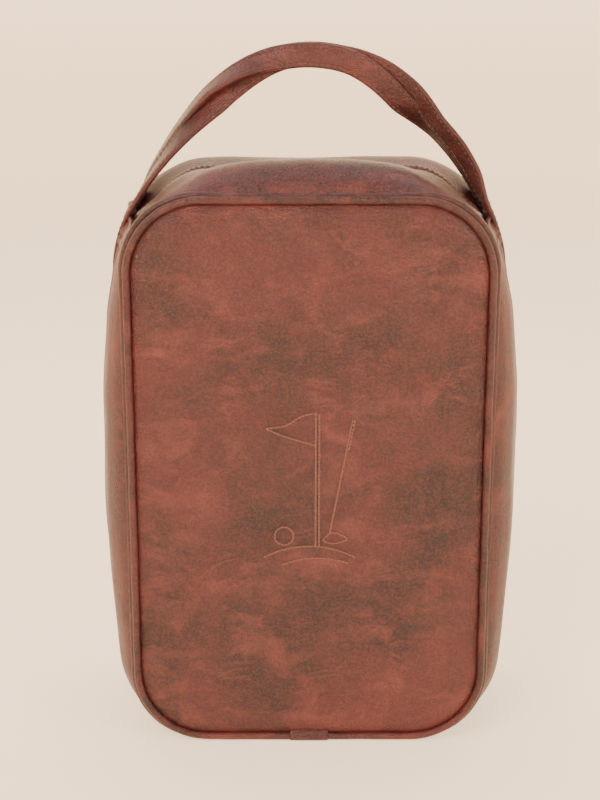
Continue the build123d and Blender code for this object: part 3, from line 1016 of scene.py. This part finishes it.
def strap(name, table):
    """One strap of the handle, with its stitches."""
    centre, width, thick = strap_frames(table)
    verts = []
    for k in range(len(centre)):
        swell = 1 + 0.03 * ripple(centre[k], 60, table["seed"])
        for x, z in SECTION:
            verts.append(centre[k] + width[k] * x * swell + thick[k] * z)
    faces = grid_faces(len(centre), len(SECTION), closed_columns=True) + end_caps(len(centre), len(SECTION))
    piece = make_object(f"{name}_strap_leather", verts, faces, LEATHER_STRAP, None)
    hang_between(piece)
    finish_piece(piece, "strap_leather", *table["nodes"])

    places = edge_stitches(centre, width, thick) + bar_stitches(centre, width, thick)
    sewing = stitch_rows(f"{name}_strap_stitching", places, THREAD, 2.6 * MM, 0.34 * MM, None)
    hang_between(sewing)
    finish_piece(sewing, "thread")


for name, table in STRAPS.items():
    strap(name, table)

# ---------------------------------------------------------------- stitched picture
MOTIF_Z = 178 * MM


def arc_points(cx, cz, radius, start, end, count=20):
    """Points on an arc; angles in degrees from +X, counted towards +Z."""
    return [(cx + radius * math.cos(math.radians(a)), cz + radius * math.sin(math.radians(a)))
            for a in np.linspace(start, end, count)]


def curve(points, count):
    return [tuple(p) for p in smooth_path(points, count)[0]]


def motif_lines():
    """A flag on a stick, a ball, two ground curves and a club, in mm about the picture's middle."""
    return [
        [(4, 48), (4, 0), (4, -40)],
        [(6.2, 48), (6.2, 0), (6.2, -40)],
        curve([(4, 48), (-5, 46), (-15, 40), (-27, 38)], 24),
        curve([(-27, 38), (-16, 33), (-6, 30), (4, 27)], 24),
        arc_points(-16, -33, 6, 0, 360, 30),
        arc_points(0, -100, 60, 61, 119, 30),
        arc_points(5, -106, 58, 70, 113, 24),
        [(27, 44), (21, 12), (13, -31)],
        curve([(13, -31), (9, -36), (16, -38), (24, -35), (17, -31), (13, -31)], 30),
        [(28.4, 44), (26, 31), (24.6, 24)],
    ]


def motif_marks(gap, sink):
    """Places and directions along each line, on the front panel's face or sunk below it."""
    for line in motif_lines():
        marks = spaced([(x * MM, 0, MOTIF_Z + z * MM) for x, z in line], gap)
        yield [((p[0], sink - panel_height(p[0], p[2], FRONT_SEED), p[2]), d) for p, d in marks]


def motif_threads():
    """The picture's stitches."""
    places = [(p, d, (0, -1, 0)) for marks in motif_marks(2.3 * MM, -0.05 * MM) for p, d in marks]
    piece = stitch_rows("motif_threads", places, MOTIF_THREAD, 2.5 * MM, 0.55 * MM)
    finish_piece(piece, "thread", "motif_stitching")


CHANNEL_WIDE, CHANNEL_DEEP = 0.95 * MM, 0.72 * MM
CHANNEL_SIDES = 8


def groove_shade_lines():
    """A dark band under each line of the picture: painted shade of the groove that the line is pressed into.
    """
    verts, faces = [], []
    for marks in motif_marks(1.2 * MM, 0.55 * MM):
        start = len(verts)
        for p, d in marks:
            across = np.array([-d[2], 0, d[0]])
            for k in range(CHANNEL_SIDES):
                turn = 2 * math.pi * k / CHANNEL_SIDES
                verts.append(np.array(p) + across * CHANNEL_WIDE * math.cos(turn)
                             + np.array([0, -CHANNEL_DEEP * math.sin(turn), 0]))
        faces += grid_faces(len(marks), CHANNEL_SIDES, closed_columns=True, start=start)
        faces += end_caps(len(marks), CHANNEL_SIDES, start)
    finish_piece(make_object("motif_groove_shade_lines", verts, faces, LEATHER_GROOVE_SHADE), "leather")


motif_threads()
groove_shade_lines()

# ---------------------------------------------------------------- pull tags
# Rings from the underside to the top face: (inset in mm, height as a share of half the thickness)
TAG_RINGS = (
    (2.4, -0.9), (0.7, -1.0), (0.12, -0.6), (0, 0), (0.12, 0.6), (0.7, 1.0), (1.5, 0.86), (2.4, 1.02),
)
TAG_POINTS = 56
TAG_SQUARE = 0.36                             # 1 is an ellipse, and nearer 0 is a box
TAG_STITCH = 1.5                              # from the edge, in mm


def pull_tag(side):
    """A small stitched leather tag on a zip puller, with rounded corners and turned edges."""
    body = f"puller_{side}"
    lo, hi = [Vector(corner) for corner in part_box(f"pull_tag_{side}")]
    middle, half = (lo + hi) / 2, (hi - lo) / 2
    shape = []
    for turn in np.linspace(0, 2 * math.pi, TAG_POINTS, endpoint=False):
        c, s = math.cos(turn), math.sin(turn)
        shape.append((math.copysign(abs(c) ** TAG_SQUARE, c), math.copysign(abs(s) ** TAG_SQUARE, s)))

    def ring(inset, rise, outline):
        return [(middle.x + a * (half.x - inset * MM), middle.y + b * (half.y - inset * MM),
                 middle.z + rise * half.z) for a, b in outline]

    verts = [p for inset, rise in TAG_RINGS for p in ring(inset, rise, shape)]
    faces = grid_faces(len(TAG_RINGS), TAG_POINTS, closed_columns=True) + end_caps(len(TAG_RINGS), TAG_POINTS)
    tag = make_object(f"pull_tag_{side}_leather", verts, faces, LEATHER_EDGE, body)
    finish_piece(tag, "edge_leather", f"pull_tag_{side}")
    seam = ring(TAG_STITCH, 0.95, shape + shape[:1])
    places = [(p, d, (0, 0, 1)) for p, d in spaced(seam, 2.4 * MM)]
    sewing = stitch_rows(f"pull_tag_{side}_stitching", places, THREAD, 1.6 * MM, 0.22 * MM, body)
    finish_piece(sewing, "thread")


pull_tag("left")
pull_tag("right")

# ---------------------------------------------------------------- materials of the CAD nodes, by slot
STAYING = {
    "metal": BRASS, "lining": LINING, "board": BOARD, "edge_leather": LEATHER_EDGE, "tape": TAPE,
    "leather": LEATHER_SKIN, "strap_leather": LEATHER_STRAP, "thread": THREAD,
}
for part in frame["record"]["subparts"]:
    cad = frame["nodes"][part["node"]]
    finish = BRONZE if part["node"] == "zip_stops" else STAYING[part["material_slot"]]
    if not cad.data.materials:
        cad.data.materials.append(None)
    for k in range(len(cad.data.materials)):
        cad.data.materials[k] = finish


# ---------------------------------------------------------------- studio
FLOOR_R, BEND_R, SWEEP_TOP = 4.0, 1.5, 4.2    # in metres
SWEEP_TURNS = 96
PAPER = (0.86, 0.70, 0.52, 1)
PAPER_GLOW = (1.0, 0.81, 0.59, 1)
GLOW_FLOOR, GLOW_ADDED, GLOW_HEIGHT = 1.05, 0.95, 1.2


def studio_sweep():
    """A pale round floor that curves up into a backdrop all round."""
    profile = [(r, 0.0) for r in (0.6, 1.5, FLOOR_R)]
    profile += [(FLOOR_R + BEND_R * math.sin(a), BEND_R - BEND_R * math.cos(a))
                for a in np.linspace(0.12, math.pi / 2, 14)]
    profile.append((FLOOR_R + BEND_R, SWEEP_TOP))
    verts = []
    for r, z in profile:
        for k in range(SWEEP_TURNS):
            turn = 2 * math.pi * k / SWEEP_TURNS
            verts.append((r * math.cos(turn), r * math.sin(turn), z))
    faces = grid_faces(len(profile), SWEEP_TURNS, closed_columns=True)
    faces.append(tuple(range(SWEEP_TURNS)))
    sweep = make_object("studio_sweep", verts, faces, sweep_material(), None)


def sweep_material():
    """Matt pale paper with painted light: it glows, more strongly towards the top, as a lit backdrop would
    be.
    """
    made, tree, shader = material("pale_paper")
    shader.inputs["Base Color"].default_value = PAPER
    shader.inputs["Roughness"].default_value = 0.95
    shader.inputs["Specular IOR Level"].default_value = 0.1
    shader.inputs["Emission Color"].default_value = PAPER_GLOW
    coords = object_coords(tree)
    height = node(tree, "ShaderNodeSeparateXYZ", None, Vector=coords).outputs["Z"]
    # Painted light: the paper's glow grows with height.
    painted_glow = scale_and_add(tree, step_up(tree, height, 0.0, GLOW_HEIGHT), GLOW_ADDED, GLOW_FLOOR)
    tree.links.new(painted_glow, shader.inputs["Emission Strength"])
    return made


studio_sweep()
